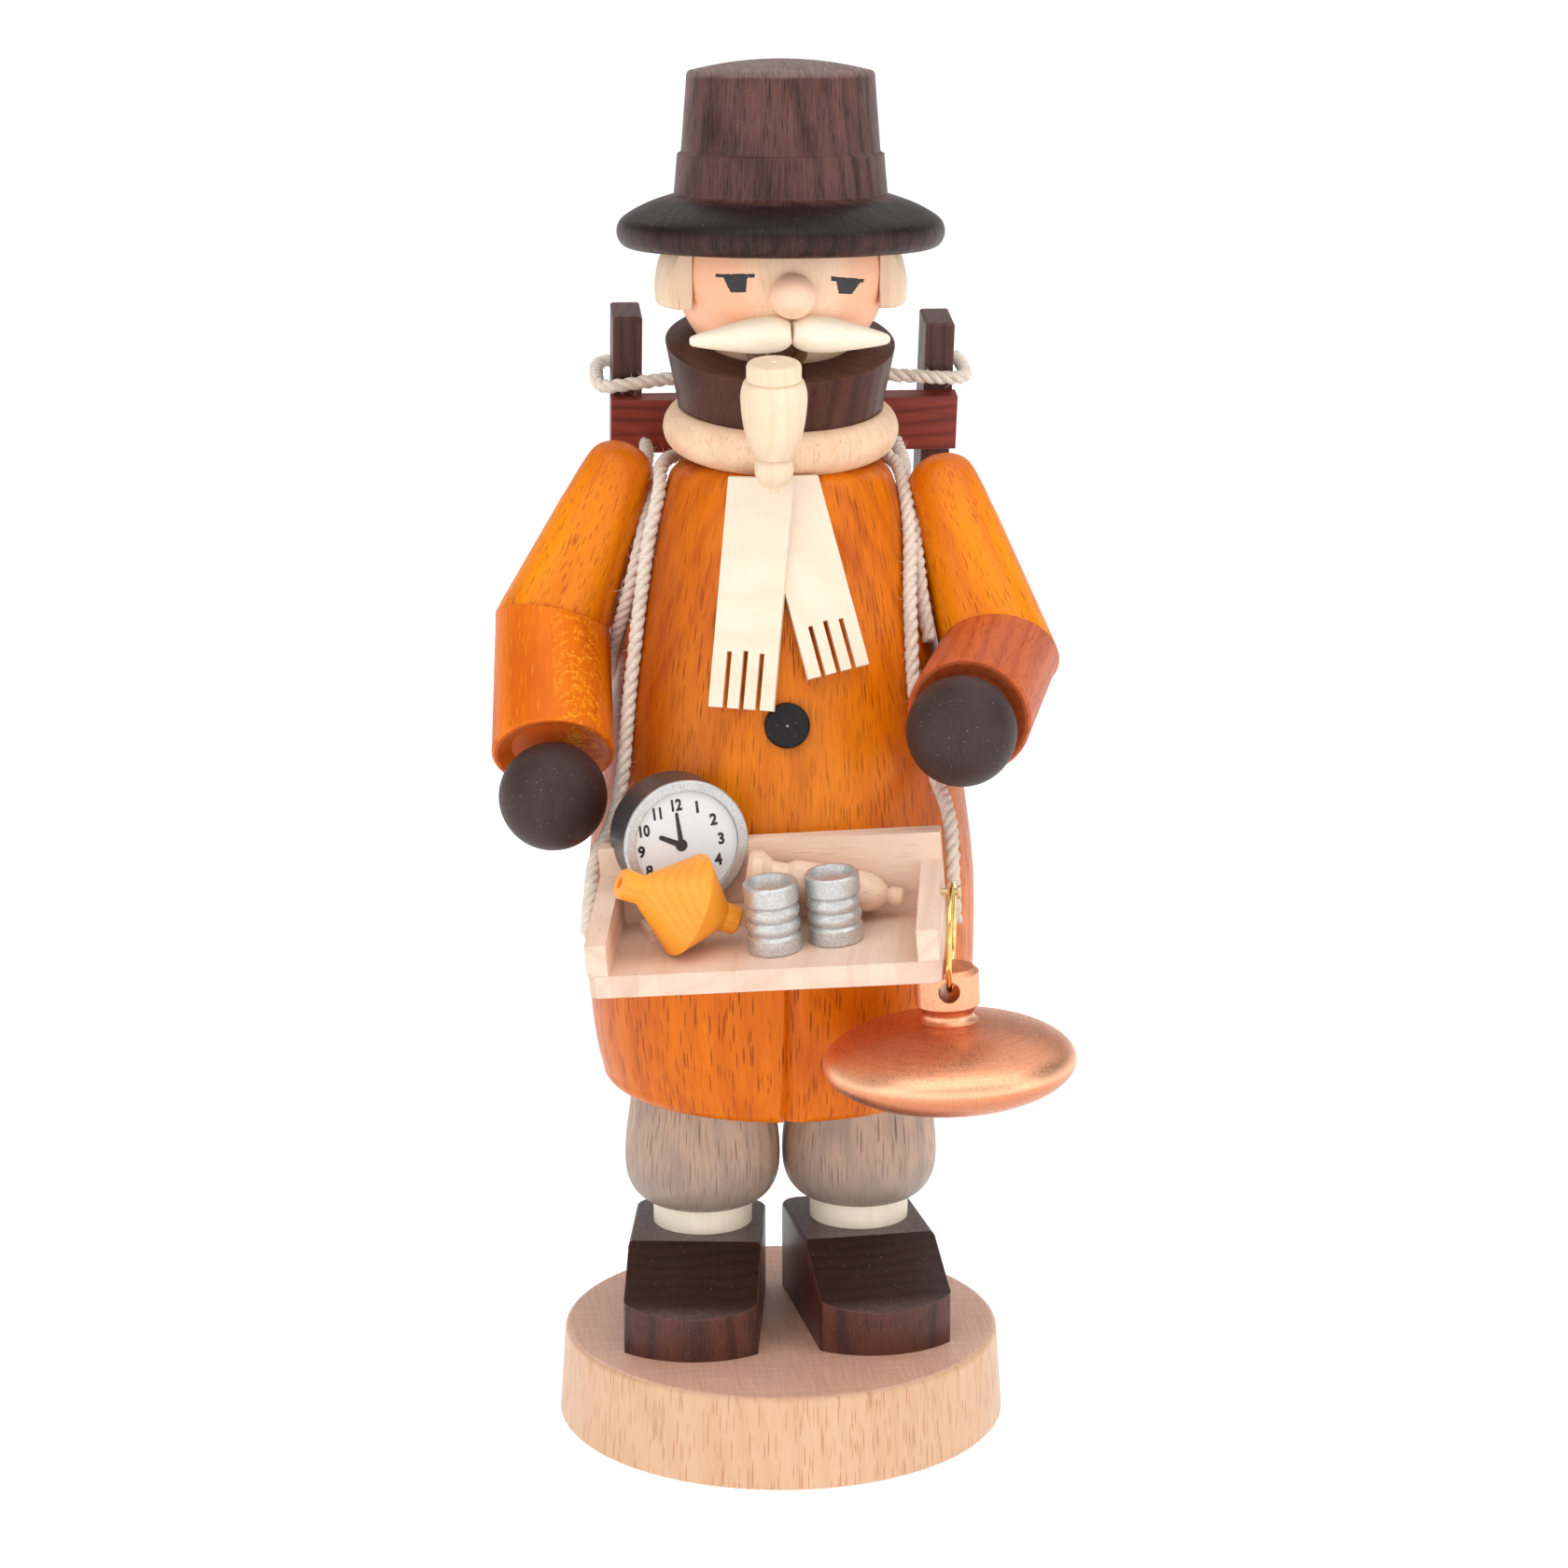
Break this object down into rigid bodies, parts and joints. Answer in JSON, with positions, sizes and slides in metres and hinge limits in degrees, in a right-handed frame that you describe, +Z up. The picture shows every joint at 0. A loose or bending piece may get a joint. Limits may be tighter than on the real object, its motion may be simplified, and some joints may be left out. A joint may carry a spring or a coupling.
{
  "type": "incense smoker figure",
  "caption": "Turned wooden peddler whose coat lifts off a burner stand so incense smoke leaves by the mouth; a goods tray hangs from its neck and a flask swings from a ring.",
  "frame": {"origin": "centre of the base disc's underside, where the object stands on a table", "axes": "+Z up; the figure looks along -Y; +X is the figure's left hand side"},
  "size_m": [0.0895, 0.1158, 0.2165],
  "materials": {
    "beech_natural": "sanded, clear satin lacquer",
    "beech_amber": "amber stain, satin lacquer",
    "beech_orange": "orange-brown stain, satin lacquer",
    "wood_red_brown": "red-brown stain, satin lacquer",
    "wood_dark": "dark brown stain, satin lacquer",
    "wood_blackened": "blackish brown matte stain",
    "paint_black": "matte black paint",
    "wood_grey": "grey-brown stain, satin lacquer",
    "wood_ivory": "pale maple, satin lacquer",
    "wood_face": "natural, with airbrushed cheeks and painted eyes",
    "wood_peach": "peach tint, satin lacquer",
    "wood_mahogany": "mahogany stain, satin lacquer",
    "paint_silver": "silver paint with glitter",
    "paint_graphite": "graphite paint with a silver front rim",
    "dial_white": "printed white card",
    "paint_copper": "copper metallic paint",
    "brass": "polished",
    "steel": "plain",
    "paint_orange": "orange stain, satin lacquer",
    "hemp": "twisted hemp twine, fuzzy"
  },
  "bodies": {
    "stand": {"base_disc": "beech_natural", "shoe_left": "wood_dark", "shoe_right": "wood_dark", "sock_left": "wood_ivory", "sock_right": "wood_ivory", "leg_left": "wood_grey", "leg_right": "wood_grey", "leg_dowels": "beech_natural", "burner_disc": "beech_natural", "cone_dish": "steel", "dish_nail": "steel"},
    "figure": {"arm_dowels": "beech_natural", "body_dowels": "beech_natural", "can_back": "paint_silver", "can_front": "paint_silver", "clock_case": "paint_graphite", "clock_dial": "dial_white", "clock_stand": "beech_natural", "coat": "beech_amber", "coat_button": "paint_black", "collar": "wood_dark", "forearm_left": "wood_red_brown", "forearm_right": "beech_orange", "frame_board_middle": "wood_mahogany", "frame_board_top": "wood_mahogany", "frame_cord": "hemp", "frame_nails": "steel", "frame_post_left": "wood_dark", "frame_post_right": "wood_dark", "frame_shelf": "wood_mahogany", "hair": "beech_natural", "hand_left": "wood_blackened", "hand_right": "wood_blackened", "hat": "wood_dark", "head": "wood_face", "moustache_left": "wood_ivory", "moustache_right": "wood_ivory", "neck_tube": "beech_natural", "nose": "wood_peach", "pepper_mill": "beech_natural", "pipe_bowl": "wood_ivory", "pipe_knob": "wood_ivory", "pipe_stem": "wood_ivory", "ring_pin": "brass", "scarf_ring": "beech_natural", "scarf_tail_long": "wood_ivory", "scarf_tail_short": "wood_ivory", "shoulder_strap_left": "hemp", "shoulder_strap_right": "hemp", "spinning_top": "paint_orange", "tray_back": "beech_natural", "tray_cord": "hemp", "tray_floor": "beech_natural", "tray_side_left": "beech_natural", "tray_side_right": "beech_natural", "upper_arm_left": "beech_amber", "upper_arm_right": "beech_amber"},
    "ring": {"hanging_ring": "brass"},
    "flask": {"copper_flask": "paint_copper"}
  },
  "joints": [
    {"name": "body_lift", "type": "slide", "parent": "stand", "child": "figure", "axis": [0, 0, 1], "range_m": [0, 0.06]},
    {"name": "ring_swing", "type": "hinge", "parent": "figure", "child": "ring", "pos_m": [0.02154, -0.03872, 0.09576], "axis": [0.9817, -0.1902, 0], "range_deg": [-14, 2]},
    {"name": "flask_swing", "type": "hinge", "parent": "ring", "child": "flask", "pos_m": [0.02154, -0.03872, 0.08145], "axis": [0.1902, 0.9817, 0], "range_deg": [-40, 2]}
  ]
}
